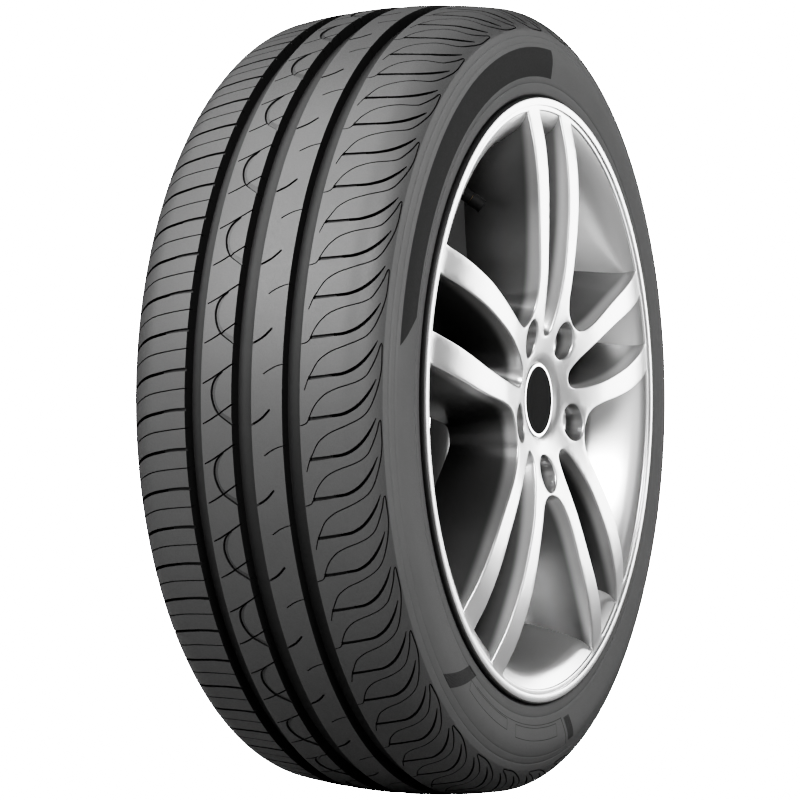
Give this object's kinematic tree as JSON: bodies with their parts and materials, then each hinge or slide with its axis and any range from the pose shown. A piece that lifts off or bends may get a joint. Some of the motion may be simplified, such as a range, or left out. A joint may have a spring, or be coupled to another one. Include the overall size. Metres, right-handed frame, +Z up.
{
  "type": "car wheel with tyre",
  "caption": "Low-profile summer car tyre with an asymmetric grooved tread, mounted on a silver twin-spoke alloy wheel with a centre cap and an air valve.",
  "frame": {"origin": "on the spin axis, at the middle of the tyre's width", "axes": "+Y along the spin axis towards the car (the outboard face looks to -Y), +Z up, with one lug hole straight below the axis"},
  "size_m": [0.6162, 0.2146, 0.6168],
  "materials": {
    "tyre": "matt black rubber, slightly satin on the tread",
    "alloy": "bright silver lacquer",
    "cap_rim": "bright plated plastic rim",
    "cap_disc": "dark grey, smooth",
    "valve_rubber": "matt black rubber",
    "valve_brass": "plain brass",
    "valve_cap": "black moulded plastic"
  },
  "bodies": {
    "root": {"tyre": "tyre", "alloy_wheel": "alloy", "centre_cap": "cap_rim", "cap_disc": "cap_disc", "valve_stem": "valve_rubber", "valve_tube": "valve_brass", "valve_cap": "valve_cap"}
  },
  "joints": []
}
